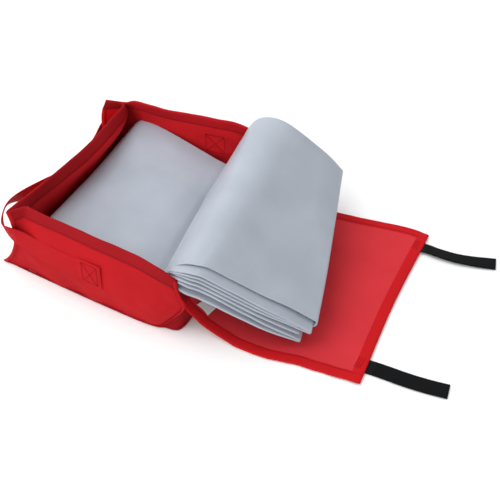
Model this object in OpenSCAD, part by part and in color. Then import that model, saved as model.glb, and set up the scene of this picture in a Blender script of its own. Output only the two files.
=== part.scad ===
// Fire blanket in a soft carry bag.  The bag lies open on its base: the lid flap is thrown back
// to the floor and the upper half of the folded glass-cloth blanket is flipped out over it.
// Origin: centre of the base on the floor.  +X towards the lid, +Y to the back, +Z up.
// Every moving piece is drawn where it lies in the closed bag, and opened by turning it
// about its fold lines.

/* [Bag] */
// Length of the base, from the handle end to the lid end
bag_len = 298; // [294:1:302]
// Width of the base
bag_wid = 320; // [316:1:330]
// Height of the walls at the handle end
rim_h = 130; // [128:1:134]
// Height of the walls at the lid end
lid_end_h = 108; // [107:1:108]
// Thickness of the coated bag cloth, with its lining
cloth_t = 2; // [1.5:0.1:2]
// Width of the turned top hem
hem_w = 16; // [12:1:20]

/* [Blanket] */
// Width of the folded blanket
fold_wid = 300; // [280:1:300]
// Thickness of one of the four folded layers in the bag
lower_t = 16.4; // [15:0.2:16.4]
// Thickness of one of the three folded layers that flip out
upper_t = 10.7; // [9:0.1:10.7]
// How far the flipped layers are turned out of the bag
blanket_open = 180; // [172:1:180]
// How far the flipped layers bend down towards the floor
blanket_bend = 36; // [32:1:36]
// Skew of the flip's fold line
blanket_skew = 4.5; // [0:0.5:4.5]

/* [Lid] */
// Length of the lid from its seam to where it meets the floor
lid_drop = 128; // [126:1:130]
// Whole length of the lid, from its seam to its free edge
lid_len = 317; // [312:1:318]
// Skew of the lid's fold line
lid_skew = 1.5; // [0:0.5:1.5]

/* [Straps and handle] */
// Width of the closing straps
strap_w = 25; // [20:1:30]
// Free length of a closing strap
strap_len = 115; // [90:1:118]
// Distance of each closing strap from the middle of the lid
strap_y = 128; // [110:1:130]
// Width of the handle webbing
handle_w = 38; // [30:1:40]
// How far the handle loop stands off the end wall
handle_gap = 20; // [19:1:24]

/* [Hidden] */

$fn = 48;
gap = 0.3;                                // clearance between pieces that only lie together
x_handle = -bag_len / 2;                  // outer face of the handle-end wall
x_lid = bag_len / 2;                      // outer face of the lid-end wall
y_wall = bag_wid / 2;                     // outer face of the front and back walls
thin = 0.8;                               // thickness of hems, labels and stitch patches
stitch_t = 0.6;                           // height of a row of stitching
seam_fin = 5;                             // how far a corner seam stands out

// Side wall outline: level from the handle end, then falling to the lid end
rim_bend_x = 15;

// Flipped blanket
flip_x = 130;                             // fold line of the flip, along the closed bag
flip_z = 112.5;
upper_top = 106.5;                        // top of the closed flipped layers
bend_reach = 35;                          // from the flip's fold line out to the bend, once flipped
flip_x0 = -78;                            // closed handle-end edge of the flipped layers
flip_x1 = 132;                            // closed lid-end edge of the flipped layers
lower_x0 = -138;
lower_x1 = 140;

// Lid
seam_x = x_lid + 4;                       // the lid's fold line
seam_z = lid_end_h + 4;
floor_z = cloth_t / 2;                    // mid-plane of the lid where it lies on the floor
drape_a = asin((seam_z - floor_z) / lid_drop);

hem_flat = 18;                            // width of the lid's hems
label_wid = 24;
label_len = 34;
label_s = 46;                             // the label's distance along the lid from its seam
label_out = 5;                            // how far the label stands past the lid's side
stitch_len = 45;                          // sewn end of the handle
pad_h = 60;                               // height of the loop pads on the handle-end wall
pad_z = 30;

// Handle: ends sewn at tab_x on the front and back walls, rising towards the handle end
tab_x = 4;
handle_t = 2.2;
handle_z = 66;
handle_x = -26;                           // where the webbing leaves its sewn end
handle_tilt = 2;                          // the loop's rise towards the handle end
handle_r = 30;                            // inner radius of the loop round each corner
handle_side = 2.4;                        // the webbing's clearance off the side wall at its root
handle_flare = 12;                        // and at the corner, outside the seam fins

// Everything drawn for the front is mirrored for the back
module at_back() { mirror([0, 1, 0]) children(); }

module turned(point, angle, axis) {
    translate(point) rotate(a = angle, v = axis) translate(-point) children();
}

// --- bag -----------------------------------------------------------------------------------

module base_panel() {
    color("firebrick")
    translate([x_handle + cloth_t + gap, -y_wall + cloth_t + gap, 0])
        cube([bag_len - 2 * cloth_t - 2 * gap, bag_wid - 2 * cloth_t - 2 * gap, cloth_t]);
}

module base_binding() {
    bind_t = 1;
    color("darkred")
    translate([0, 0, 0.4])
        linear_extrude(4)
            difference() {
                square([bag_len + 2 * bind_t, bag_wid + 2 * bind_t], center = true);
                square([bag_len, bag_wid], center = true);
            }
}

// A side wall panel between two heights above the floor, following the falling rim
module side_panel(z0_handle, z0_bend, z0_lid, z1_handle, z1_bend, z1_lid, x0, x1, t) {
    rotate([90, 0, 0])
        linear_extrude(t)
            polygon([
                [x0, z0_handle], [rim_bend_x, z0_bend], [x1, z0_lid],
                [x1, z1_lid], [rim_bend_x, z1_bend], [x0, z1_handle]
            ]);
}

module side_wall() {
    translate([0, -y_wall + cloth_t, 0])
        side_panel(0, 0, 0, rim_h, rim_h, lid_end_h, x_handle + cloth_t + gap,
                   x_lid - cloth_t - gap, cloth_t);
}

module side_hem() {
    translate([0, -y_wall, 0])
        side_panel(rim_h - hem_w, rim_h - hem_w, lid_end_h - hem_w, rim_h, rim_h, lid_end_h,
                   x_handle + cloth_t + gap, x_lid - cloth_t - gap, thin);
}

module front_wall() { color("crimson") side_wall(); }
module back_wall() { color("crimson") at_back() side_wall(); }
module front_hem() { color("firebrick") side_hem(); }
module back_hem() { color("firebrick") at_back() side_hem(); }

module handle_end_wall() {
    color("crimson")
    translate([x_handle, -y_wall, 0])
        cube([cloth_t, bag_wid, rim_h]);
}

module lid_end_wall() {
    color("crimson")
    translate([x_lid - cloth_t, -y_wall, 0])
        cube([cloth_t, bag_wid, lid_end_h - thin]);
}

module handle_end_hem() {
    color("firebrick")
    translate([x_handle - thin, -y_wall + seam_fin, rim_h - hem_w])
        cube([thin, bag_wid - 2 * seam_fin, hem_w]);
}

module lid_hinge_binding() {
    color("firebrick")
    translate([x_lid - cloth_t, -y_wall + seam_fin, lid_end_h - thin])
        cube([cloth_t, bag_wid - 2 * seam_fin, thin]);
}

// Both cloths of a corner stand out together in a pinched, stitched fin
module corner_seam(x, height) {
    lean = x < 0 ? -45 : 45;
    translate([x, -y_wall, 5])
        rotate([0, 0, lean])
            translate([-cloth_t / 2, -seam_fin - 1.4, 0])
                cube([cloth_t, seam_fin, height - 5]);
}

module front_handle_corner_seam() { color("darkred") corner_seam(x_handle, rim_h); }
module back_handle_corner_seam() { color("darkred") at_back() corner_seam(x_handle, rim_h); }
module front_lid_corner_seam() { color("darkred") corner_seam(x_lid, lid_end_h - 6); }
module back_lid_corner_seam() { color("darkred") at_back() corner_seam(x_lid, lid_end_h - 6); }

module loop_pad() {
    color("dimgray")
    translate([x_handle - 1.2, -strap_y - strap_w / 2, pad_z])
        cube([1.2, strap_w, pad_h]);
}

module loop_pad_front() { loop_pad(); }
module loop_pad_back() { at_back() loop_pad(); }

// --- handle --------------------------------------------------------------------------------

// Half of the webbing's plan, from its front root round the corner to the middle of the end
module half_loop() {
    x_in = x_handle - handle_gap + handle_t;
    centre = [x_in + handle_r, -y_wall - handle_flare + handle_r];
    root_y = -y_wall - handle_side;
    flare_y = -y_wall - handle_flare;
    polygon([
        [handle_x, root_y], [centre[0], flare_y],
        [centre[0], flare_y - handle_t], [handle_x, root_y - handle_t]
    ]);
    intersection() {
        translate(centre)
            difference() {
                circle(handle_r + handle_t);
                circle(handle_r);
            }
        translate([centre[0] - 2 * handle_r, centre[1] - 2 * handle_r]) square(2 * handle_r);
    }
    translate([x_in - handle_t, centre[1]]) square([handle_t, -centre[1]]);
}

module handle_strap() {
    color("red")
    turned([handle_x, 0, handle_z], handle_tilt, [0, 1, 0])
        translate([0, 0, handle_z - handle_w / 2])
            linear_extrude(handle_w)
                union() {
                    half_loop();
                    mirror([0, 1, 0]) half_loop();
                }
}

// Sewn end of the webbing, flat on the side wall
module handle_tab() {
    color("red")
    translate([tab_x - 28, -y_wall - 2, handle_z - handle_w / 2])
        cube([stitch_len + 8, 2, handle_w]);
}

// Stitched square with its crossed diagonals
module handle_stitching() {
    inset = 3;
    row_w = 1.4;
    diagonal = norm([stitch_len - 2 * inset, handle_w - 2 * inset]);
    rise = atan2(handle_w - 2 * inset, stitch_len - 2 * inset);
    color("darkred")
    translate([tab_x, -y_wall - 2, handle_z])
        rotate([90, 0, 0])
            linear_extrude(stitch_t)
                union() {
                    difference() {
                        square([stitch_len - 2 * inset + row_w, handle_w - 2 * inset + row_w],
                               center = true);
                        square([stitch_len - 2 * inset - row_w, handle_w - 2 * inset - row_w],
                               center = true);
                    }
                    for (turn = [-rise, rise])
                        rotate(turn) square([diagonal, row_w], center = true);
                }
}

module handle_tab_front() { handle_tab(); }
module handle_tab_back() { at_back() handle_tab(); }
module handle_stitching_front() { handle_stitching(); }
module handle_stitching_back() { at_back() handle_stitching(); }

// --- blanket -------------------------------------------------------------------------------

// One folded run of the blanket between x0 and x1, with a round fold where asked
module run(x0, x1, z0, t, round0, round1) {
    r = t / 2;
    start = round0 ? x0 + r : x0;
    stop = round1 ? x1 - r : x1;
    translate([0, fold_wid / 2, z0])
        rotate([90, 0, 0])
            linear_extrude(fold_wid)
                union() {
                    translate([start, 0]) square([stop - start, t]);
                    if (round0) translate([start, r]) circle(r);
                    if (round1) translate([stop, r]) circle(r);
                }
}

module lower_layer(i) {
    color("silver")
    run(lower_x0, lower_x1, cloth_t + gap + i * (lower_t + gap), lower_t, true, true);
}

module blanket_lower_layer_1() { lower_layer(0); }
module blanket_lower_layer_2() { lower_layer(1); }
module blanket_lower_layer_3() { lower_layer(2); }
module blanket_lower_layer_4() { lower_layer(3); }

flip_axis = [sin(blanket_skew), -cos(blanket_skew), 0];

// The bend lies square across the bag once flipped, so it crosses the closed layers at a slant
slant = 2 * blanket_skew;
bend_point = [flip_x - bend_reach * cos(slant), -bend_reach * sin(slant), upper_top];
bend_axis = [sin(slant), -cos(slant), 0];

module flipped() { turned([flip_x, 0, flip_z], -blanket_open, flip_axis) children(); }
module bent() { flipped() turned(bend_point, -blanket_bend, bend_axis) children(); }

// Layers count downwards from the closed top, which is the underside once flipped
function upper_z(i) = upper_top - (i + 1) * upper_t - i * gap;

// Everything to one side of the slanting bend line
module beside_bend(side) {
    reach = 2 * bag_len;
    translate([bend_point[0], bend_point[1], 0])
        rotate([0, 0, slant])
            translate([side < 0 ? -reach - gap : gap, -reach / 2, 0]) cube([reach, reach, rim_h]);
}

module flip_layer(i, side) {
    intersection() {
        run(flip_x0, flip_x1, upper_z(i), upper_t, true, true);
        beside_bend(side);
    }
}

module flip_inner(i) { color("lightgray") flipped() flip_layer(i, 1); }
module flip_outer(i) { color("lightgray") bent() flip_layer(i, -1); }

module blanket_flip_inner_1() { flip_inner(0); }
module blanket_flip_inner_2() { flip_inner(1); }
module blanket_flip_inner_3() { flip_inner(2); }
module blanket_flip_outer_1() { flip_outer(0); }
module blanket_flip_outer_2() { flip_outer(1); }
module blanket_flip_outer_3() { flip_outer(2); }

// --- lid -----------------------------------------------------------------------------------

// The lid's pattern lies flat with its seam along y and its length along x.  Its sides run at
// lid_skew to the fold lines, so that it lies square on the bag once it is shut.
function side_at(y, s) = [s, y / cos(lid_skew) + s * tan(lid_skew)];
function edge_s(y, back_off) = lid_len - back_off - y * tan(lid_skew);

module pattern(s0, y0, y1, back_off = 0, s1 = undef) {
    end0 = is_undef(s1) ? edge_s(y0, back_off) : s1;
    end1 = is_undef(s1) ? edge_s(y1, back_off) : s1;
    polygon([side_at(y0, s0), side_at(y0, end0), side_at(y1, end1), side_at(y1, s0)]);
}

module laid(thick, z) {
    translate([0, 0, z]) linear_extrude(thick) children();
}

// Places for the two lid panels at rest: hanging from the seam, and flat on the floor
module hanging() {
    translate([seam_x, 0, seam_z]) rotate([0, 0, lid_skew]) rotate([0, drape_a, 0]) children();
}

drape_step = lid_drop * (1 - cos(drape_a));
module on_floor() {
    translate([seam_x, 0, floor_z]) rotate([0, 0, lid_skew]) translate([-drape_step, 0, 0]) children();
}

fold_gap = 1.6;                           // pieces start this far from a fold line
half_lid = y_wall;
hem_y = half_lid - hem_flat;

module lid_inner_panel() {
    color("indianred")
    hanging()
        laid(cloth_t, -cloth_t / 2)
            pattern(fold_gap, -half_lid, half_lid, 0, lid_drop - fold_gap / 2);
}

module lid_inner_hem(y0, y1) {
    color("firebrick")
    hanging()
        laid(thin, cloth_t / 2) pattern(fold_gap, y0, y1, 0, lid_drop - fold_gap);
}

module lid_inner_hem_front() { lid_inner_hem(-half_lid, -hem_y); }
module lid_inner_hem_back() { lid_inner_hem(hem_y, half_lid); }

module care_label() {
    corner = side_at(-half_lid, label_s);
    color("white")
    hanging()
        translate([corner[0], corner[1] - label_out, -cloth_t / 2 - thin])
            cube([label_wid, label_len, thin]);
}

module lid_outer_panel() {
    color("indianred")
    on_floor()
        laid(cloth_t, -cloth_t / 2) pattern(lid_drop + fold_gap / 2, -half_lid, half_lid);
}

module lid_outer_hem(y0, y1) {
    color("firebrick")
    on_floor()
        laid(thin, cloth_t / 2) pattern(lid_drop + fold_gap, y0, y1, hem_flat + gap);
}

module lid_outer_hem_front() { lid_outer_hem(-half_lid, -hem_y); }
module lid_outer_hem_back() { lid_outer_hem(hem_y, half_lid); }

// Place of a point on the free edge, square to the lid's sides
module at_free_edge(y) {
    on_floor()
        translate(concat(side_at(y, edge_s(y, 0)), 0)) rotate([0, 0, lid_skew]) children();
}

module lid_free_edge_hem() {
    color("firebrick")
    at_free_edge(0)
        translate([-hem_flat, -half_lid, cloth_t / 2]) cube([hem_flat, 2 * half_lid, thin]);
}

// --- closing straps ------------------------------------------------------------------------

strap_t = 1.2;
strap_root = 1.5;                         // from the free edge to the fold line of each strap

module strap_stitching(y) {
    rows = 3;
    color("black")
    at_free_edge(y)
        for (row = [1 : rows])
            translate([-hem_flat * row / (rows + 1), -strap_w / 2, cloth_t / 2 + thin])
                cube([1.2, strap_w, stitch_t]);
}

module strap_stitching_front() { strap_stitching(-strap_y); }
module strap_stitching_back() { strap_stitching(strap_y); }

module closing_strap(y) {
    color("black")
    at_free_edge(y)
        translate([strap_root + gap, -strap_w / 2, -floor_z])
            cube([strap_len - strap_root - gap, strap_w, strap_t]);
}

module strap_hook_face(y) {
    root = 12;
    color("dimgray")
    at_free_edge(y)
        translate([root, -strap_w / 2 + 1, strap_t - floor_z])
            cube([strap_len - root - 2, strap_w - 2, thin]);
}

module closing_strap_front() { closing_strap(-strap_y); }
module closing_strap_back() { closing_strap(strap_y); }
module strap_hook_face_front() { strap_hook_face(-strap_y); }
module strap_hook_face_back() { strap_hook_face(strap_y); }

base_panel();
base_binding();
front_wall();
back_wall();
handle_end_wall();
lid_end_wall();
front_hem();
back_hem();
handle_end_hem();
lid_hinge_binding();
front_handle_corner_seam();
back_handle_corner_seam();
front_lid_corner_seam();
back_lid_corner_seam();
loop_pad_front();
loop_pad_back();
handle_strap();
handle_tab_front();
handle_tab_back();
handle_stitching_front();
handle_stitching_back();
blanket_lower_layer_1();
blanket_lower_layer_2();
blanket_lower_layer_3();
blanket_lower_layer_4();
blanket_flip_inner_1();
blanket_flip_inner_2();
blanket_flip_inner_3();
blanket_flip_outer_1();
blanket_flip_outer_2();
blanket_flip_outer_3();
lid_inner_panel();
lid_inner_hem_front();
lid_inner_hem_back();
care_label();
lid_outer_panel();
lid_outer_hem_front();
lid_outer_hem_back();
lid_free_edge_hem();
strap_stitching_front();
strap_stitching_back();
closing_strap_front();
closing_strap_back();
strap_hook_face_front();
strap_hook_face_back();
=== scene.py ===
# Looks of the fire blanket in its open carry bag.  Shapes are in millimetres in the CAD frame and
# become metres when a mesh is made.
import math

import bmesh
import bpy
import numpy as np
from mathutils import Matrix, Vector, noise


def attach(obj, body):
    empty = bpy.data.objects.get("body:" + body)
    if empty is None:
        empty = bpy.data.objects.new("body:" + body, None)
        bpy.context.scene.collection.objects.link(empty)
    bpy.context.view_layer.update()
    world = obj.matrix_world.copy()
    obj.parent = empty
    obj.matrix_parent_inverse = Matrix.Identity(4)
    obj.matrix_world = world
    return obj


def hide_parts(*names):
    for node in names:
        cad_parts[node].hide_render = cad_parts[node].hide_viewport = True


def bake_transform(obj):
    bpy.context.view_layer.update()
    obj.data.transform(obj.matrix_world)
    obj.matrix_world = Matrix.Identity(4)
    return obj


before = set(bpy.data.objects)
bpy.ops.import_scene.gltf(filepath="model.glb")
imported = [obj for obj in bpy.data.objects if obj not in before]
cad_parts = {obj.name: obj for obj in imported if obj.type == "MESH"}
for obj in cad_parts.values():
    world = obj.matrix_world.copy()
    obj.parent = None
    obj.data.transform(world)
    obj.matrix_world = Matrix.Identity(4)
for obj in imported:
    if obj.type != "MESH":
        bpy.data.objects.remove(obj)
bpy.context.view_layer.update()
MM = 0.001
SMOOTH_UP_TO = math.radians(55)
STITCH_LENGTH = 2.4
STITCH_GAP = 1.2
STITCH_WIDTH = 0.45
STITCH_SIDES = 6


# --- camera, light and floor -----------------------------------------------------------------

def make_camera():
    data = bpy.data.cameras.new("camera")
    data.lens = 54.72
    data.sensor_width = 36
    camera = bpy.data.objects.new("camera", data)
    camera.location = (0.5392, -0.7268, 0.8899)
    camera.rotation_euler = (math.radians(43.6), 0, math.radians(26.1))
    bpy.context.collection.objects.link(camera)
    bpy.context.scene.camera = camera


def make_lamp(name, place, aim, size, watts):
    data = bpy.data.lights.new(name, "AREA")
    data.shape = "DISK"
    data.size = size
    data.energy = watts
    lamp = bpy.data.objects.new(name, data)
    lamp.location = place
    lamp.rotation_euler = (Vector(aim) - Vector(place)).to_track_quat("-Z", "Y").to_euler()
    bpy.context.collection.objects.link(lamp)


def make_world():
    """Studio walls, brightest over the handle end and dimmer past the lid."""
    world = bpy.data.worlds.new("studio")
    bpy.context.scene.world = world
    world.use_nodes = True
    tree = world.node_tree
    coordinates = add(tree, "ShaderNodeTexCoord")
    facing = add(tree, "ShaderNodeVectorMath", operation="DOT_PRODUCT")
    facing.inputs[1].default_value = (-0.8, -0.3, 0.52)
    ramp = add(tree, "ShaderNodeMapRange")
    ramp.inputs["From Min"].default_value = -0.6
    ramp.inputs["From Max"].default_value = 1.0
    ramp.inputs["To Min"].default_value = 0.37
    ramp.inputs["To Max"].default_value = 1.5
    tree.links.new(coordinates.outputs["Generated"], facing.inputs[0])
    tree.links.new(facing.outputs["Value"], ramp.inputs["Value"])
    tree.links.new(ramp.outputs["Result"], tree.nodes["Background"].inputs["Color"])


def make_floor():
    material, _, shader = new_material("floor_paint", 0.9)
    shader.inputs["Base Color"].default_value = (0.93, 0.93, 0.93, 1)
    mesh = bpy.data.meshes.new("studio_floor")
    reach = 6
    level = -0.0005
    corners = [(-reach, -reach, level), (reach, -reach, level), (reach, reach, level), (-reach, reach, level)]
    mesh.from_pydata(corners, [], [(0, 1, 2, 3)])
    mesh.materials.append(material)
    floor = bpy.data.objects.new("studio_floor", mesh)
    bpy.context.collection.objects.link(floor)


# --- materials -------------------------------------------------------------------------------

def linear(red, green, blue):
    """Screen colour, 0 to 255, as the shader's linear colour."""
    out = []
    for value in (red, green, blue):
        share = value / 255
        out.append(share / 12.92 if share <= 0.04045 else ((share + 0.055) / 1.055) ** 2.4)
    return (*out, 1)


def new_material(name, roughness):
    material = bpy.data.materials.new(name)
    material.use_nodes = True
    tree = material.node_tree
    shader = tree.nodes["Principled BSDF"]
    shader.inputs["Roughness"].default_value = roughness
    return material, tree, shader


def add(tree, kind, **settings):
    node = tree.nodes.new(kind)
    for name, value in settings.items():
        setattr(node, name, value)
    return node


def math_node(tree, operation, first, second):
    node = add(tree, "ShaderNodeMath", operation=operation)
    for socket, value in zip(node.inputs, (first, second)):
        if isinstance(value, (int, float)):
            socket.default_value = value
        else:
            tree.links.new(value, socket)
    return node.outputs[0]


def threads(tree, uv, direction, pitch):
    """Height of the threads that run one way, for a pitch in metres."""
    wave = add(tree, "ShaderNodeTexWave", bands_direction=direction)
    wave.inputs["Scale"].default_value = 0.314 / pitch
    wave.inputs["Distortion"].default_value = 0.15
    tree.links.new(uv, wave.inputs["Vector"])
    return wave.outputs["Fac"]


def cloud(tree, coordinates, scale, detail):
    texture = add(tree, "ShaderNodeTexNoise")
    texture.inputs["Scale"].default_value = scale
    texture.inputs["Detail"].default_value = detail
    tree.links.new(coordinates, texture.inputs["Vector"])
    return texture.outputs["Fac"]


def fabric(name, dark, light, roughness, pitch, weave_mm, crease_mm, gloss=0.15):
    """Woven cloth: threads by its UV map, which is in metres, soft creases, and mottled colour."""
    material, tree, shader = new_material(name, roughness)
    shader.inputs["Specular IOR Level"].default_value = gloss
    uv = add(tree, "ShaderNodeTexCoord").outputs["UV"]
    place = add(tree, "ShaderNodeTexCoord").outputs["Object"]
    weave = math_node(tree, "ADD", threads(tree, uv, "X", pitch), threads(tree, uv, "Y", pitch))
    mottle = cloud(tree, place, 14, 4)
    grain = math_node(tree, "MULTIPLY", weave, 0.12)
    mix_by = math_node(tree, "ADD", math_node(tree, "MULTIPLY", mottle, 0.85), grain)
    colours = add(tree, "ShaderNodeMix", data_type="RGBA")
    colours.inputs["A"].default_value = linear(*dark)
    colours.inputs["B"].default_value = linear(*light)
    tree.links.new(mix_by, colours.inputs["Factor"])
    tree.links.new(colours.outputs["Result"], shader.inputs["Base Color"])
    creases = add(tree, "ShaderNodeBump")
    creases.inputs["Distance"].default_value = crease_mm * MM
    tree.links.new(cloud(tree, place, 22, 2), creases.inputs["Height"])
    bump = add(tree, "ShaderNodeBump")
    bump.inputs["Distance"].default_value = weave_mm * MM
    tree.links.new(weave, bump.inputs["Height"])
    tree.links.new(creases.outputs["Normal"], bump.inputs["Normal"])
    tree.links.new(bump.outputs["Normal"], shader.inputs["Normal"])
    rough = math_node(tree, "ADD", math_node(tree, "MULTIPLY", mottle, 0.16), roughness - 0.08)
    tree.links.new(rough, shader.inputs["Roughness"])
    return material


# --- shapes ----------------------------------------------------------------------------------

def curve(keys, x):
    """Smooth curve through rows of (x, value, ...), held at its ends."""
    table = np.array(keys, float)
    xs = table[:, 0]
    values = table[:, 1:]
    slopes = np.gradient(values, xs, axis=0)
    x = np.clip(np.asarray(x, float), xs[0], xs[-1])
    i = np.clip(np.searchsorted(xs, x, side="right") - 1, 0, len(xs) - 2)
    step = (xs[i + 1] - xs[i])[..., None]
    t = (x - xs[i])[..., None] / step
    leave = slopes[i] * step
    arrive = slopes[i + 1] * step
    square, cube = t ** 2, t ** 3
    return ((2 * cube - 3 * square + 1) * values[i] + (cube - 2 * square + t) * leave
            + (3 * square - 2 * cube) * values[i + 1] + (cube - square) * arrive)


def along(points, t):
    """Smooth line through points, each an equal step of t from 0 to 1."""
    steps = np.linspace(0, 1, len(points))
    return curve(np.column_stack([steps, np.array(points, float)]), t)


def loft(lines, us, vs):
    """Grid of points: us along lines of equally many points, vs across from line to line."""
    rows = [np.concatenate([[place], along(points, us).ravel()]) for place, points in lines]
    return curve(rows, vs).reshape(len(vs), len(us), 3).transpose(1, 0, 2)


def unit(vectors):
    return vectors / np.maximum(np.linalg.norm(vectors, axis=-1, keepdims=True), 1e-9)


def normals(grid):
    return unit(np.cross(np.gradient(grid, axis=0), np.gradient(grid, axis=1)))


def shares(count, edge=0.012, start=0.0, stop=1.0):
    """Shares from start to stop, closer together near both ends for a rounded edge."""
    near = edge * np.array([0, 0.08, 0.3, 0.6])
    middle = np.linspace(edge, 1 - edge, count)
    return start + (stop - start) * np.concatenate([near, middle, 1 - near[::-1]])


def offset(grid, distance):
    return grid + normals(grid) * distance


def wrinkled(grid, height, size, seed):
    """The grid with soft wrinkles of that height and size, fading at its first and last rows."""
    out = grid.copy()
    facing = normals(grid)
    rows = len(grid) - 1
    for i, row in enumerate(grid):
        fade = min(1, 6 * i / rows, 6 * (rows - i) / rows)
        for j, point in enumerate(row):
            lift = noise.noise(Vector(point / size) + Vector((seed, 2.7 * seed, 0)))
            out[i, j] += facing[i, j] * height * fade * lift
    return out


def distance_from(grid, axis, end):
    steps = np.linalg.norm(np.diff(grid, axis=axis), axis=2)
    zero = np.zeros((1, grid.shape[1])) if axis == 0 else np.zeros((grid.shape[0], 1))
    if end:
        steps = np.flip(steps, axis)
    total = np.concatenate([zero, np.cumsum(steps, axis=axis)], axis=axis)
    return np.flip(total, axis) if end else total


def cloth(name, grid, thick, material, square=(), soft=1.2):
    """A sheet of this thickness about a grid.  Its edges are rounded, but for the square ones."""
    grid = np.array(grid, float)
    radius = thick / 2
    corner = min(radius, soft)
    nearest = np.full(grid.shape[:2], corner)
    sides = {"first": (0, False), "last": (0, True), "near": (1, False), "far": (1, True)}
    for side, (axis, end) in sides.items():
        if side not in square:
            nearest = np.minimum(nearest, distance_from(grid, axis, end))
    half = radius - corner + corner * np.sqrt(1 - (1 - nearest / corner) ** 2)
    facing = normals(grid)
    upper = grid + facing * half[..., None]
    lower = grid - facing * half[..., None]
    u = distance_from(grid, 0, False)
    v = distance_from(grid, 1, False)
    return shell(name, upper, lower, u, v, material)


def shell(name, upper, lower, u, v, material):
    rows, columns = upper.shape[:2]
    shape = bmesh.new()
    uv = shape.loops.layers.uv.new("cloth")
    top = [[shape.verts.new(p * MM) for p in row] for row in upper]
    under = [[shape.verts.new(p * MM) for p in row] for row in lower]
    places = {}
    for i in range(rows):
        for j in range(columns):
            places[top[i][j]] = places[under[i][j]] = (u[i, j] * MM, v[i, j] * MM)
    faces = []
    for i in range(rows - 1):
        for j in range(columns - 1):
            faces.append((top[i][j], top[i + 1][j], top[i + 1][j + 1], top[i][j + 1]))
            faces.append((under[i][j], under[i][j + 1], under[i + 1][j + 1], under[i + 1][j]))
    for i in range(rows - 1):
        faces.append((top[i][0], under[i][0], under[i + 1][0], top[i + 1][0]))
        faces.append((top[i][-1], top[i + 1][-1], under[i + 1][-1], under[i][-1]))
    for j in range(columns - 1):
        faces.append((top[0][j], top[0][j + 1], under[0][j + 1], under[0][j]))
        faces.append((top[-1][j], under[-1][j], under[-1][j + 1], top[-1][j + 1]))
    for corners in faces:
        face = shape.faces.new(corners)
        for loop in face.loops:
            loop[uv].uv = places[loop.vert]
    bmesh.ops.remove_doubles(shape, verts=shape.verts, dist=1e-7)
    return finished(name, shape, material)


def finished(name, shape, material):
    """Object from a bmesh, smooth but for its sharp edges."""
    for face in shape.faces:
        face.smooth = True
    for edge in shape.edges:
        if len(edge.link_faces) == 2 and edge.calc_face_angle(0) > SMOOTH_UP_TO:
            edge.smooth = False
    mesh = bpy.data.meshes.new(name)
    shape.to_mesh(mesh)
    shape.free()
    mesh.materials.append(material)
    piece = bpy.data.objects.new(name, mesh)
    bpy.context.collection.objects.link(piece)
    return piece


def hem_over(edge, inner, width, stand):
    """Grid for a hem turned over an edge of the cloth, inner being points just inside it."""
    down = unit(inner - edge)
    out = unit(np.cross(np.gradient(edge, axis=0), down))
    outside = [(width, 1), (width * 0.85, 1), (width * 0.5, 1), (width * 0.2, 1.1), (0.8, 0.95), (-0.4, 0.6)]
    inside = [(depth, -side) for depth, side in outside[::-1]]
    section = outside + [(-0.9, 0)] + inside
    return np.stack([edge + d * down + s * stand * out for d, s in section], axis=1)


def stitches(name, lines, material):
    """Rows of small raised stitches along lines of points."""
    shape = bmesh.new()
    for line in lines:
        line = np.array(line, float)
        travel = np.concatenate([[0], np.cumsum(np.linalg.norm(np.diff(line, axis=0), axis=1))])
        count = max(1, int(travel[-1] / (STITCH_LENGTH + STITCH_GAP)))
        for k in range(count):
            middle = (k + 0.5) / count * travel[-1]
            ends = [middle - STITCH_LENGTH / 2, middle + STITCH_LENGTH / 2]
            a, b = (np.array([np.interp(e, travel, line[:, c]) for c in range(3)]) for e in ends)
            one_stitch(shape, a, b)
    return finished(name, shape, material)


def one_stitch(shape, a, b):
    """A six-sided thread from a to b, thinner at its ends."""
    forward = unit(b - a)
    side = unit(np.cross(forward, [0.31, 0.2, 0.93]))
    up = np.cross(side, forward)
    turns = [math.radians(360 / STITCH_SIDES * k) for k in range(STITCH_SIDES)]
    rings = []
    for share, size in ((0, 0.35), (0.18, 0.9), (0.5, 1), (0.82, 0.9), (1, 0.35)):
        centre = a + (b - a) * share
        radius = STITCH_WIDTH * size
        ring = [centre + radius * (side * math.cos(t) + up * math.sin(t)) for t in turns]
        rings.append([shape.verts.new(point * MM) for point in ring])
    for first, second in zip(rings, rings[1:]):
        for k in range(STITCH_SIDES):
            shape.faces.new((first[k], first[k - 1], second[k - 1], second[k]))
    shape.faces.new(rings[0])
    shape.faces.new(rings[-1][::-1])


# --- bag -------------------------------------------------------------------------------------

FRONT = [
    (0, [(-173, -158.5, 2), (-150, -158, 1.5), (-138, -159, 1.5), (-65, -162, 1.5), (11, -165, 1.5),
         (75, -167, 1.5), (100, -166.5, 1.5), (112, -165, 2), (117, -163.5, 3)]),
    (0.2, [(-155, -160, 24), (-143, -158, 24), (-131, -160, 24), (-65, -165, 24), (11, -168, 24),
           (75, -171, 24), (108, -171, 23), (124, -167, 22), (133, -160.5, 23)]),
    (0.5, [(-136.5, -160.5, 62), (-124, -157, 62), (-112, -158.5, 62), (-65, -165, 62), (11, -169, 62),
           (75, -171, 61), (116, -171, 60), (145, -165, 60), (159.5, -158.5, 63)]),
    (0.78, [(-131.5, -160, 98), (-119, -152, 98), (-108, -152.5, 98.5), (-65, -157, 101), (11, -162, 101),
            (75, -165, 100), (118, -167, 97), (143, -165, 92), (154, -160, 86)]),
    (0.9, [(-131.5, -160.5, 112), (-117, -146, 114), (-106, -146.5, 114.5), (-64, -149, 115.5),
           (12, -155, 115), (75, -158, 116), (119, -163, 112), (141, -163, 106), (150.5, -160, 100)]),
    (1, [(-134.5, -160, 124.5), (-114, -140.5, 126.5), (-103, -141, 126.8), (-64, -144.5, 127.5),
         (12, -149.5, 127.5), (74, -152.5, 127.5), (120, -158.5, 125), (140, -160, 120), (150, -159.5, 113)]),
]
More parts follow.
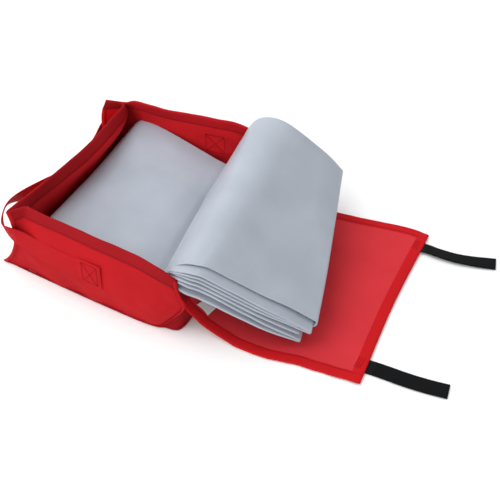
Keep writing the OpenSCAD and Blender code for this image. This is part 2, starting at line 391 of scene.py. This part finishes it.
BACK = [
    (0, [(-164, 158, 1.5), (-149, 158, 1.5), (-95, 158, 1.5), (-50, 159, 1.5), (13, 159, 1.5),
         (75, 158, 1.5), (120, 156, 1.5), (148, 150, 1.5)]),
    (0.3, [(-166, 142, 32), (-149, 159, 32), (-95, 160, 32), (-50, 161, 32), (13, 163, 32),
           (75, 170, 32), (116, 172, 32), (151, 160, 32)]),
    (0.6, [(-163, 124, 74), (-142, 158, 74), (-95, 157, 74), (-50, 157, 74), (13, 163, 75),
           (75, 172, 75), (118, 172, 74), (153, 162, 70)]),
    (0.88, [(-158, 126, 113), (-127, 150, 112), (-96, 150, 114), (-49, 153, 115), (13, 161, 116),
            (75, 169, 115), (120, 169, 106), (153, 162, 98)]),
    (1, [(-152, 130, 131), (-122, 141, 127.5), (-103, 148, 131.5), (-49, 151, 130.5), (13, 161, 131),
         (76, 168.5, 131), (120, 168, 123), (151, 160, 112)]),
]
HANDLE_END = [
    (0, [(-173, -156.5, 2), (-151, -155, 1.5), (-151, -120, 1.5), (-151, -79, 1.5), (-151, -37, 1.5),
         (-151, 10, 1.5), (-151, 49, 1.5), (-151, 105, 1.5), (-150, 156, 1.5), (-164.5, 156, 1.5)]),
    (0.3, [(-147, -158, 35), (-138, -153, 35), (-144, -120, 35), (-145, -79, 35), (-143, -37, 35),
           (-141.5, 10, 35), (-141.5, 49, 35), (-145, 105, 35), (-150, 156, 35), (-167, 140, 35)]),
    (0.6, [(-134, -158.5, 76), (-124, -150, 76), (-131, -120, 76), (-130, -79, 76), (-126, -37, 76),
           (-123, 10, 76), (-122, 49, 76), (-126, 105, 76), (-143, 154, 76), (-164, 122, 76)]),
    (0.87, [(-131, -158, 111), (-121, -143, 112), (-123, -122, 113), (-119, -88, 113), (-109, -42, 113),
            (-103, 10, 113), (-102, 53, 113), (-108, 105, 113), (-125, 146, 113), (-159, 124, 114)]),
    (1, [(-134.5, -158, 124.5), (-131, -146, 126.5), (-127, -121, 127.5), (-122, -88, 128),
         (-116, -37, 128.5), (-113.5, 5, 128.5), (-114.5, 48, 128), (-118, 102, 128),
         (-123, 137, 127.5), (-152, 128.5, 131)]),
]
LID_END = [
    (0, [(117, -162, 3), (143, -155.5, 2), (148, -120, 1.5), (150, -60, 1.5), (150, 40, 1.5),
         (148, 150, 1.5)]),
    (0.3, [(134, -159, 27), (146, -150, 28), (154, -120, 29), (155, -60, 30), (154, 40, 31),
           (151, 156, 31)]),
    (0.6, [(158.5, -157, 62), (157, -148, 62), (156, -120, 62), (155, -60, 63), (152, 40, 64),
           (152, 160, 64)]),
    (1, [(150, -158, 90), (150, -148, 92), (150, -120, 97), (150, -60, 104), (150, 40, 108),
         (150, 159, 107)]),
]
HEM = 18
HEM_START = 0.84
HEM_FADE = 0.14


def make_wall(name, lines, material, node, seed):
    vs = shares(36)
    smooth = loft(lines, shares(84), vs)
    creased = wrinkled(wrinkled(smooth, 2.4, 38, seed), 0.8, 13, seed + 20)
    below_hem = np.clip((HEM_START - vs) / HEM_FADE, 0, 1)[None, :, None]
    grid = smooth + (creased - smooth) * below_hem
    wall = cloth(name, grid, 2.0, material)
    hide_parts(node)
    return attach(wall, "bag")


def rim_of(lines):
    grid = loft(lines, shares(70), np.array([0.9, 1.0]))
    return grid[:, 1], grid[:, 0]


def make_rim_hem(name, lines, material, node):
    edge, inner = rim_of(lines)
    ripple = np.array([noise.noise(Vector(p / 26)) for p in edge])
    edge[:, 2] += 1.3 * ripple
    hem = cloth(name, hem_over(edge, inner, HEM, 1.7), 1.0, material)
    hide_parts(node)
    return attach(hem, "bag")


def hem_seam(lines, from_edge):
    """Lines of stitching on both sides of a rim, that far below its edge."""
    edge, inner = rim_of(lines)
    rows = []
    for side in (1, -1):
        section = hem_over(edge, inner, from_edge, 2.2 * side)
        rows.append(section[3:-3, 0])
    return rows


def make_corner(name, lines, last, material, node):
    """Narrow binding over the edge where both cloths of a corner are stitched together."""
    ends = loft(lines, np.array([0.96, 1.0]) if last else np.array([0.04, 0.0]), shares(40))
    binding = cloth(name, hem_over(ends[1], ends[0], 5, 2.4), 0.9, material)
    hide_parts(node)
    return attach(binding, "bag")


def share_at(lines, axis, value):
    """The share along a loft where its middle line reaches a coordinate."""
    us = np.linspace(0.15, 1, 300)
    line = loft(lines, us, np.array([0.5]))[:, 0, axis]
    return float(np.interp(value, line, us))


def make_base(material):
    sides = [(0, [(-147, -155, 1.5), (0, -162, 1.5), (145, -150, 1.5)]),
             (1, [(-147, 155, 1.5), (0, 157, 1.5), (146, 150, 1.5)])]
    base = cloth("base_cloth", loft(sides, shares(20), shares(20)), 2.4, material)
    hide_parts("base_panel")
    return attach(base, "bag")


def make_base_piping(material):
    """A narrow bound seam all round the foot of the walls."""
    near = along(FRONT[0][1], np.linspace(0, 1, 40))
    right = along(LID_END[0][1], np.linspace(0, 1, 30))
    far = along(BACK[0][1], np.linspace(1, 0, 40))
    left = along(HANDLE_END[0][1], np.linspace(1, 0, 30))
    line = np.concatenate([near, right[1:], far[1:], left[1:]])
    line[:, 2] = 2.0
    middle = line.mean(axis=0)
    out = unit((line - middle) * [1, 1, 0])
    turns = [math.radians(45 * k) for k in range(9)]
    ring = [line + out * (1.6 + 1.7 * math.cos(t)) + np.array([0, 0, 1.5 * math.sin(t)]) for t in turns]
    piping = shell_tube("base_piping", np.stack(ring, axis=1), material)
    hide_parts("base_binding")
    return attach(piping, "bag")


def shell_tube(name, grid, material):
    shape = bmesh.new()
    uv = shape.loops.layers.uv.new("cloth")
    u = distance_from(grid, 0, False)
    v = distance_from(grid, 1, False)
    verts = [[shape.verts.new(p * MM) for p in row] for row in grid]
    for i in range(len(verts) - 1):
        for j in range(len(verts[0]) - 1):
            corners = ((i, j), (i, j + 1), (i + 1, j + 1), (i + 1, j))
            face = shape.faces.new([verts[a][b] for a, b in corners])
            for loop, (a, b) in zip(face.loops, corners):
                loop[uv].uv = (u[a, b] * MM, v[a, b] * MM)
    bmesh.ops.remove_doubles(shape, verts=shape.verts, dist=1e-6)
    bmesh.ops.recalc_face_normals(shape, faces=shape.faces)
    return finished(name, shape, material)


def patch(name, lines, us, vs, lift, thick, material, node):
    """A piece sewn flat on a wall, over a part of its loft and lifted off it."""
    piece = cloth(name, offset(loft(lines, us, vs), lift), thick, material)
    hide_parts(node)
    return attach(piece, "bag")


def box_rows(lines, us, vs, lift):
    """Stitched box with crossed diagonals on a wall, as lines of points."""
    (u0, u1), (v0, v1) = us, vs
    runs = [((u0, v0), (u1, v0)), ((u1, v0), (u1, v1)), ((u1, v1), (u0, v1)), ((u0, v1), (u0, v0)),
            ((u0, v0), (u1, v1)), ((u0, v1), (u1, v0))]
    rows = []
    for (ua, va), (ub, vb) in runs:
        points = []
        for step in np.linspace(0, 1, 9):
            u = ua + (ub - ua) * step
            v = va + (vb - va) * step
            around = loft(lines, np.array([u - 0.01, u, u + 0.01]), np.array([v - 0.02, v, v + 0.02]))
            points.append(offset(around, lift)[1, 1])
        rows.append(points)
    return rows


def make_bag(red, lit_red, painted_shading_red, thread, loop_tape):
    make_wall("front_wall_cloth", FRONT, red, "front_wall", 1)
    # The back and handle-end walls take the lighter copy of the red, which is painted light.
    make_wall("back_wall_cloth", BACK, lit_red, "back_wall", 2)
    make_wall("handle_end_cloth", HANDLE_END, lit_red, "handle_end_wall", 3)
    # The lid-end wall takes the darker copy of the red as painted shade, as do the front and handle-end rim
    # hems; the lid seam binding and the base piping use it too.
    make_wall("lid_end_cloth", LID_END, painted_shading_red, "lid_end_wall", 5)
    make_rim_hem("front_rim_hem", FRONT, painted_shading_red, "front_hem")
    make_rim_hem("back_rim_hem", BACK, red, "back_hem")
    make_rim_hem("handle_end_rim_hem", HANDLE_END, painted_shading_red, "handle_end_hem")
    corners = {"front_handle": (FRONT, False), "back_handle": (BACK, False),
               "front_lid": (FRONT, True), "back_lid": (BACK, True)}
    for name, (lines, last) in corners.items():
        make_corner(name + "_corner_binding", lines, last, red, name + "_corner_seam")
    make_base(red)
    make_base_piping(painted_shading_red)
    binding = cloth("lid_seam_binding", hem_over(*rim_of(LID_END), 9, 1.8), 1.0, painted_shading_red)
    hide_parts("lid_hinge_binding")
    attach(binding, "bag")
    rows = []
    for lines in (FRONT, BACK, HANDLE_END):
        rows += hem_seam(lines, HEM - 2.5)
    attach(stitches("rim_stitching", rows, thread), "bag")
    for side, y in (("front", -100), ("back", 105)):
        u0 = share_at(HANDLE_END, 1, y - 12)
        u1 = share_at(HANDLE_END, 1, y + 12)
        patch("loop_tape_" + side, HANDLE_END, shares(8, 0.05, u0, u1), shares(14, 0.02, 0.26, 0.68),
              -2.0, 1.2, loop_tape, "loop_pad_" + side)


# --- handle ----------------------------------------------------------------------------------

HANDLE = [
    # centre of the webbing, then the way its width runs
    (2, -170, 69, 0, 0.14, 1),
    (-28, -168.5, 70, 0, 0.15, 1),
    (-60, -166.5, 70.5, 0, 0.16, 1),
    (-90, -164, 72, 0.02, 0.13, 1),
    (-112, -163, 77, 0.06, 0.04, 1),
    (-130, -165, 83, 0.14, -0.12, 0.96),
    (-146, -162, 86.5, 0.32, -0.35, 0.87),
    (-158, -153, 89, 0.5, -0.45, 0.75),
    (-165, -141, 94, 0.58, -0.48, 0.66),
    (-168, -127, 98, 0.56, -0.47, 0.68),
    (-167, -110, 96, 0.45, -0.4, 0.8),
    (-163, -85, 88, 0.25, -0.25, 0.93),
    (-159, -52, 76, 0.08, -0.08, 0.99),
    (-156, -15, 64, 0, 0, 1),
    (-155.5, 25, 56, 0, 0, 1),
    (-158, 65, 54, 0, 0, 1),
    (-164, 100, 56, 0, 0, 1),
    (-171, 128, 58, 0, 0, 1),
    (-170, 148, 59, 0, 0, 1),
    (-159, 164, 60, 0, 0, 1),
    (-137, 168.5, 62, 0, 0, 1),
    (-105, 165, 64, 0, 0, 1),
    (-60, 162, 67, 0, 0, 1),
    (-20, 163, 71, 0, 0, 1),
    (24, 167, 75, 0, 0, 1),
]


def ribbon(keys, width, us, ws):
    """Grid for a strap: keys are its centre and the way its width runs."""
    line = along(keys, us)
    centre = line[:, :3]
    across = unit(line[:, 3:])
    return centre[:, None, :] + across[:, None, :] * (ws[None, :, None] - 0.5) * width


def make_handle(webbing, thread):
    strap = cloth("handle_webbing", ribbon(HANDLE, 37, shares(150, 0.003), shares(12, 0.03)), 2.2, webbing)
    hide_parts("handle_strap")
    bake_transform(strap)
    tabs = {"front": (FRONT, 1, (-12, 29), (0.40, 0.70)), "back": (BACK, -1, (14, 58), (0.47, 0.77))}
    for side, (lines, out, xs, vs) in tabs.items():
        us = [share_at(lines, 0, x) for x in xs]
        tab = patch("handle_end_" + side, lines, shares(14, 0.02, *us), shares(10, 0.03, *vs),
                    out * 2.6, 2.4, webbing, "handle_tab_" + side)
        inset_u = 0.012
        inset_v = 0.03
        box = ((us[0] + inset_u, us[1] - inset_u), (vs[0] + inset_v, vs[1] - inset_v))
        rows = box_rows(lines, *box, out * 4.1) + box_rows(lines, *box, -out * 1.3)
        sewing = stitches("handle_sewing_" + side, rows, thread)
        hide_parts("handle_stitching_" + side)
        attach(sewing, "bag")


# --- blanket ---------------------------------------------------------------------------------

# The top sheet, from the handle end along the bag, up through the valley and over the arch
TOP = [
    (0, [(-118, -145, 66), (-104, -147, 70), (-60, -148, 71), (0, -148, 71), (50, -146, 69), (84, -144, 62),
         (109, -143, 57), (119, -142, 86), (131, -143, 113), (145, -146, 130), (161, -146, 140),
         (176, -144, 142.5), (191, -139, 139), (223, -128, 117.5), (262, -115, 92.5), (296, -103, 73),
         (334, -90, 46)]),
    (0.46, [(-116, 0, 67), (-102, 0, 71.5), (-60, 0, 73), (0, 0, 73), (40, 0, 70.5), (70, 0, 62.5),
            (94, 0, 53), (103, 0, 86), (114, 0, 118), (128, 0, 135.5), (146, 0, 147),
            (168, 0, 149), (190, 0, 142), (219, 0, 120.5), (250, 0, 98.5), (281, 0, 77.5), (311, 0, 57.5)]),
    (1, [(-112, 149, 82), (-98, 154, 90), (-60, 153.5, 87), (-8, 151, 75), (31, 148, 66), (56, 147, 60),
         (78, 149, 58), (87, 151, 90), (96, 156, 120), (104, 166, 139), (116, 172, 152.5),
         (138, 174.5, 159.5), (162, 175, 157.5), (188, 175, 146), (213, 178.5, 128.5), (237, 183, 109),
         (259, 189, 83)]),
]
# The lowest line of the flipped stack, from just inside the bag to its end
UNDER = [
    (0, [(120, -148, 98), (132, -149, 97), (148, -150, 95.5), (162, -150, 92.5), (178, -146, 88),
         (207, -141, 77), (244, -130, 55), (283, -116, 31), (324, -98, 8)]),
    (0.46, [(104, 0, 106), (117, 0, 112), (135, 0, 117), (153, 0, 117), (174, 0, 108),
            (203, 0, 87), (233, 0, 64), (264, 0, 40), (298, 0, 18)]),
    (1, [(92, 150, 108), (100, 154, 116), (112, 160, 122), (132, 165, 124), (154, 167, 118),
         (176, 168, 104), (198, 171, 86), (220, 175, 66), (240, 180, 42)]),
]
VALLEY_TO_CREST = 9.5 / 16
# The plies stop this far short of the top sheet's far side, so that they clear the wall when packed
FAR_PULL = 26
ARCH_START = 8 / 16
FOLD_BULGE = 0.6


def stack_surface(share, us, vs):
    """Sheet that lies between the top sheet and the lowest line of the flipped stack."""
    top = loft(TOP, ARCH_START + us * (1 - ARCH_START), vs)
    low = loft(UNDER, us, vs)
    return top + (low - top) * np.reshape(share, (-1, 1, 1))


def end_fold(upper, lower, steps=9):
    """Rows round the folded end of a ply, from the last row of one run to that of the other."""
    outward = unit(upper[-1] - upper[-3] + lower[-1] - lower[-3])
    centre = (upper[-1] + lower[-1]) / 2
    arm = upper[-1] - centre
    radius = np.linalg.norm(arm, axis=1, keepdims=True)
    turns = [math.pi * k / steps for k in range(1, steps)]
    bulge = outward * radius * FOLD_BULGE
    return np.array([centre + arm * math.cos(a) + bulge * math.sin(a) for a in turns])


def widened(grid, near, far):
    """The grid with its near and far edges moved out, by amounts for each row."""
    v = np.linspace(0, 1, grid.shape[1])
    near_way = unit(grid[:, 0] - grid[:, 3])[:, None, :]
    far_way = unit(grid[:, -1] - grid[:, -4])[:, None, :]
    near = np.broadcast_to(near, len(grid))
    far = np.broadcast_to(far, len(grid))
    return (grid + near_way * (near[:, None] * (1 - v) ** 3)[..., None]
            + far_way * (far[:, None] * v ** 3)[..., None])


def folded_ply(share_top, share_low, end, back, waves):
    """Rows of a ply that runs out under the top sheet, folds flat at its end and comes back."""
    us = shares(40, 0.01)
    vs = shares(30, 0.008)
    pinch = 0.35 * (share_low - share_top) * np.clip((us - 0.6) / 0.4, 0, 1) ** 2
    out = stack_surface(share_top + pinch, us * end, vs)
    home = stack_surface(share_low - pinch[::-1], back + (1 - us) * (end - back), vs)
    grid = np.concatenate([out, end_fold(out, home[::-1]), home])
    return waved(grid, *waves)


def waved(grid, height, size, seed):
    out = grid.copy()
    for i, row in enumerate(grid):
        for j, point in enumerate(row):
            out[i, j, 2] += height * noise.noise(Vector(point / size) + Vector((seed, seed, seed)))
    return out


def stack_piece(name, grid, thick, material, nodes, square=()):
    piece = cloth(name, grid, thick, material, square)
    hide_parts(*nodes)
    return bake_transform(piece)


def make_top_sheet(grey):
    vs = shares(40, 0.006)
    start = np.concatenate([[0, 0.001, 0.002, 0.004], np.linspace(0.008, VALLEY_TO_CREST - 0.01, 90),
                            VALLEY_TO_CREST - np.array([0.006, 0.003, 0])])
    spread = cloth("blanket_spread", loft(TOP, start, vs), 2.4, grey, square=("last",))
    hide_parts("blanket_lower_layer_4")
    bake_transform(spread)
    rest = np.concatenate([VALLEY_TO_CREST + np.array([0, 0.003, 0.006]),
                           np.linspace(VALLEY_TO_CREST + 0.01, 0.995, 70)])
    out = loft(TOP, rest, vs)
    lower = stack_surface(0.30, np.linspace(0.88, 0.985, 9), vs)
    grid = np.concatenate([out, end_fold(out, lower, 12), lower[::-1]])
    stack_piece("blanket_flap_top", grid, 2.4, grey,
                ("blanket_flip_inner_3", "blanket_flip_outer_3"), square=("first",))


def reach(us, factor):
    """How far a ply stands out past the top sheet's near side, along the stack."""
    return factor * np.interp(us, [0, 0.25, 0.8, 1], [7, 11, 14, 14])


def make_stack(grey):
    us = shares(40, 0.01)
    vs = shares(30, 0.008)
    folds = {"upper": (0.12, 0.38, 0.98, 0.1, (0.8, 30, 1), (1.0, 0.95), 3.6, "2"),
             "lower": (0.68, 0.96, 0.96, 0.0, (1.2, 34, 9), (0.9, 0.85), 3.8, "1")}
    for name, (top, low, end, back, waves, factors, thick, level) in folds.items():
        grid = folded_ply(top, low, end, back, waves)
        fold_rows = len(grid) - 2 * len(us)
        out = reach(us * end, factors[0])
        home = reach(us[::-1] * end, factors[1])
        near = np.concatenate([out, np.linspace(out[-1], home[0], fold_rows), home])
        stack_piece("blanket_ply_" + name, widened(grid, near, -FAR_PULL), thick, grey,
                    ("blanket_flip_inner_" + level, "blanket_flip_outer_" + level))
    singles = {"middle": (0.25, 0.93, 0.97, 5), "inner": (0.53, 0.95, 0.93, 3)}
    for name, (share, end, factor, seed) in singles.items():
        grid = waved(stack_surface(share, us * end, vs), 0.9, 28, seed)
        wide = widened(grid, reach(us * end, factor), -FAR_PULL)
        stack_piece("blanket_ply_" + name, wide, 3.6, grey, ())


def make_pack(grey):
    """The folded layers under the top sheet, in the bag.  The highest is cut short of the valley,
    where the top sheet dips, and each one's flat length is the length modelled here."""
    levels = [(10.4, -138, 136), (26.8, -134, 137), (43.2, -128, 136), (58.0, -120, 42)]
    for k, (z, x0, x1) in enumerate(levels):
        lines = [(0, [(x0, -146, z), (0, -148, z + 0.4), (x1, -145, z)]),
                 (0.5, [(x0 - 1, 0, z + 0.4), (0, 0, z + 0.6), (x1 + 1, 0, z + 0.4)]),
                 (1, [(x0, 146, z), (0, 149, z + 0.4), (x1, 146, z)])]
        grid = waved(loft(lines, shares(24, 0.03), shares(24, 0.03)), 0.8, 60, k)
        layer = cloth("blanket_pack_%d" % (k + 1), grid, 15.0, grey, soft=6)
        if k < 3:
            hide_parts("blanket_lower_layer_%d" % (k + 1))
        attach(layer, "bag")


# --- lid -------------------------------------------------------------------------------------

LID = [
    (0, [(149.5, -157, 90), (151, -157.5, 77), (156, -156, 61), (165, -153.5, 45), (179, -151, 27),
         (198, -148, 13.5), (217, -147.5, 5.5), (240, -149, 2.8), (276, -148, 2.4), (319, -140, 2.4),
         (350, -136, 2.4), (384, -133, 2.8), (415, -131, 3.8)]),
    (0.5, [(151, 0, 108), (154, 0, 89), (159, 0, 63), (167, 0, 41), (181, 0, 24), (198, 0, 11.5),
           (217, 0, 4.8), (240, 0, 2.6), (276, 0, 2.4), (318, 14, 2.4), (349, 18, 2.4),
           (382, 22, 2.6), (411, 25, 3.4)]),
    (1, [(151, 159, 108), (154, 160, 90), (159, 161, 63), (167, 163, 41), (181, 165, 25), (198, 168, 12),
         (217, 171, 5.5), (240, 173, 3), (276, 176, 2.6), (319, 182, 2.8), (350, 187, 3),
         (384, 191, 3.2), (416, 189, 4)]),
]
LID_SPLIT = 5 / 12
LID_HEM = 15


def lid_piece(name, grid, thick, material, part, nodes, square=()):
    piece = cloth(name, grid, thick, material, square)
    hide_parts(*nodes)
    return lid_blend(piece, part)


def lid_blend(piece, part):
    if part == "inner":
        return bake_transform(piece)
    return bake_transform(piece)


def lid_edge(us, far):
    grid = loft(LID, us, np.array([0, 0.07, 0.93, 1.0]))
    return (grid[:, 3], grid[:, 2]) if far else (grid[:, 0], grid[:, 1])


def rippled(edge, height, size, seed):
    out = edge.copy()
    for i, point in enumerate(edge):
        out[i, 1] += height * noise.noise(Vector(point / size) + Vector((seed, 0, 0)))
    return out


def make_lid(lining, painted_shading_red, thread):
    # The hem red passed in here is the lighter copy, painted light on the lid's hems.
    vs = shares(34, 0.006)
    spans = {"inner": (np.linspace(0, LID_SPLIT, 50), ("last",)),
             "outer": (np.linspace(LID_SPLIT, 1, 60), ("first",))}
    rows = {"inner": [], "outer": []}
    for part, (us, square) in spans.items():
        panel = lid_piece("lid_%s_cloth" % part, loft(LID, us, vs), 1.6, lining, part,
                          ("lid_%s_panel" % part,), square)
        for side, far in (("front", False), ("back", True)):
            edge, inner = lid_edge(us, far)
            edge = rippled(edge, 1.2, 24, 3)
            grid = hem_over(edge, inner, LID_HEM, 1.3)
            lid_piece("lid_%s_hem_%s_cloth" % (part, side), grid, 0.9, painted_shading_red, part,
                      ("lid_%s_hem_%s" % (part, side),), square)
            rows[part].append(hem_over(edge, inner, LID_HEM - 2.5, 1.8)[:, 0 if not far else -1])
    across = shares(50, 0.006)
    grid = loft(LID, np.array([0.94, 1.0]), across)
    edge, inner = grid[1], grid[0]
    free = hem_over(edge, inner, LID_HEM, 1.5)
    lid_piece("lid_end_hem_cloth", free, 0.9, painted_shading_red, "outer", ("lid_free_edge_hem",))
    rows["outer"].append(hem_over(edge, inner, LID_HEM - 2.5, 2.0)[4:-4, -1])
    for part, lines in rows.items():
        lid_blend(stitches("lid_%s_stitching" % part, lines, thread), part)


def make_label(material):
    lines = [(0, [(166, -138, 49), (172, -137, 44), (179, -138, 40), (185, -141, 38)]),
             (0.5, [(170, -130, 50), (176, -128, 46), (182, -129, 43), (188, -133, 40)]),
             (1, [(173, -124, 51), (179, -121, 48), (185, -121, 45), (191, -125, 42)])]
    label = cloth("care_label_cloth", loft(lines, shares(14, 0.02), shares(10, 0.02)), 0.8, material)
    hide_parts("care_label")
    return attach(label, "lid_inner")


# --- closing straps --------------------------------------------------------------------------

STRAPS = {
    # centre of the strap, then the way its width runs
    "front": [(398, -100, 1.0, 0.1, 0.98, 0), (414, -98, 1.2, 0.1, 0.98, 0), (430, -97, 1.6, 0.05, 0.98, 0),
              (448, -96.5, 1.8, 0, 1, 0), (470, -95.8, 1.8, -0.05, 1, 0), (492, -94, 1.8, -0.1, 1, 0),
              (512, -91.5, 1.8, -0.1, 1, 0), (530, -88.6, 1.9, -0.1, 1, 0.01)],
    "back": [(400, 157.5, 1.2, 0.1, 0.98, 0), (414, 158.7, 2.8, 0.05, 0.98, -0.12),
             (427, 159, 3.6, 0, 0.98, -0.18), (441, 158, 3.8, 0, 0.98, -0.2),
             (470, 159.5, 3.4, -0.05, 0.98, -0.16), (496, 165, 2.9, -0.15, 0.98, -0.1),
             (514, 170.5, 2.2, -0.2, 0.97, -0.03), (531, 176, 2.0, -0.2, 0.97, 0)],
}


def make_straps(tape, hooks, thread):
    for side, keys in STRAPS.items():
        body = "strap_" + side
        us = shares(60, 0.006)
        strap = cloth("closing_tape_" + side, ribbon(keys, 24.5, us, shares(10, 0.03)), 1.3, tape)
        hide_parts("closing_strap_" + side)
        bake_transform(strap)
        face = offset(ribbon(keys, 22, shares(40, 0.006, 0.25, 0.985), shares(8, 0.03)), 1.0)
        hook = cloth("hook_tape_" + side, face, 1.0, hooks)
        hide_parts("strap_hook_face_" + side)
        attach(hook, body)
        rows = []
        for share in (0.015, 0.05, 0.085):
            row = ribbon(keys, 21, np.array([share, share + 0.004]), np.linspace(0, 1, 8))[0]
            row[:, 2] = 6.0
            rows.append(row)
        sewing = stitches("strap_sewing_" + side, rows, thread)
        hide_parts("strap_stitching_" + side)
        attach(sewing, "lid_outer")


# --- everything ------------------------------------------------------------------------------


bpy.context.scene.view_settings.view_transform = "Standard"
make_camera()
make_world()
make_floor()
make_lamp("key", (-0.9, -0.7, 2.6), (0.1, 0, 0.05), 2.2, 25)
make_lamp("fill", (0.6, -2.6, 1.6), (0.1, 0, 0.05), 2.5, 12)

red = fabric("red_coated_cloth", (158, 22, 28), (186, 29, 35), 0.6, 0.0007, 0.05, 1.3, gloss=0.03)
# The darker red below is a copy of the wall red, painted shade on the lid-end wall and the front and
# handle-end rim hems; the lid seam binding and the base piping use it too.
painted_shading_red = fabric("red_painted_shade_cloth", (132, 20, 25), (156, 25, 31), 0.6, 0.0007, 0.05, 0.6, gloss=0.03)
lining = fabric("red_lid_cloth", (184, 44, 50), (208, 56, 63), 0.6, 0.0007, 0.05, 0.9, gloss=0.03)
# The next red is a lighter copy of the darker hem red above, painted light on the lid's hems where the lid
# lies open.
lit_lid_hem_red = fabric("red_lid_hem_painted_light_cloth", (170, 22, 27), (196, 29, 34), 0.6, 0.0007, 0.05, 0.6, gloss=0.03)
# The next red is a lighter copy of the wall red, painted light on the back and handle-end walls inside the
# bag, which are the same cloth as the front wall.
lit_red = fabric("red_painted_light_cloth", (190, 28, 34), (216, 36, 42), 0.6, 0.0007, 0.05, 1.3, gloss=0.03)
red_thread = fabric("red_thread", (104, 12, 16), (130, 16, 22), 0.6, 0.0004, 0.05, 0.0, gloss=0.03)
black_tape = fabric("black_tape", (8, 9, 10), (20, 22, 24), 0.75, 0.0012, 0.2, 0.1)
hook_face = fabric("hook_face", (6, 7, 8), (20, 21, 23), 0.85, 0.0018, 0.5, 0.0)
grey = fabric("silicone_glass_cloth", (144, 151, 163), (176, 184, 194), 0.4, 0.0009, 0.05, 0.7, gloss=0.5)
paper = fabric("label_cloth", (170, 166, 168), (194, 190, 192), 0.7, 0.0005, 0.05, 0.2)

make_bag(red, lit_red, painted_shading_red, red_thread, hook_face)
make_handle(red, red_thread)
make_pack(grey)
make_top_sheet(grey)
make_stack(grey)
make_lid(lining, lit_lid_hem_red, red_thread)
make_label(paper)
make_straps(black_tape, hook_face, red_thread)
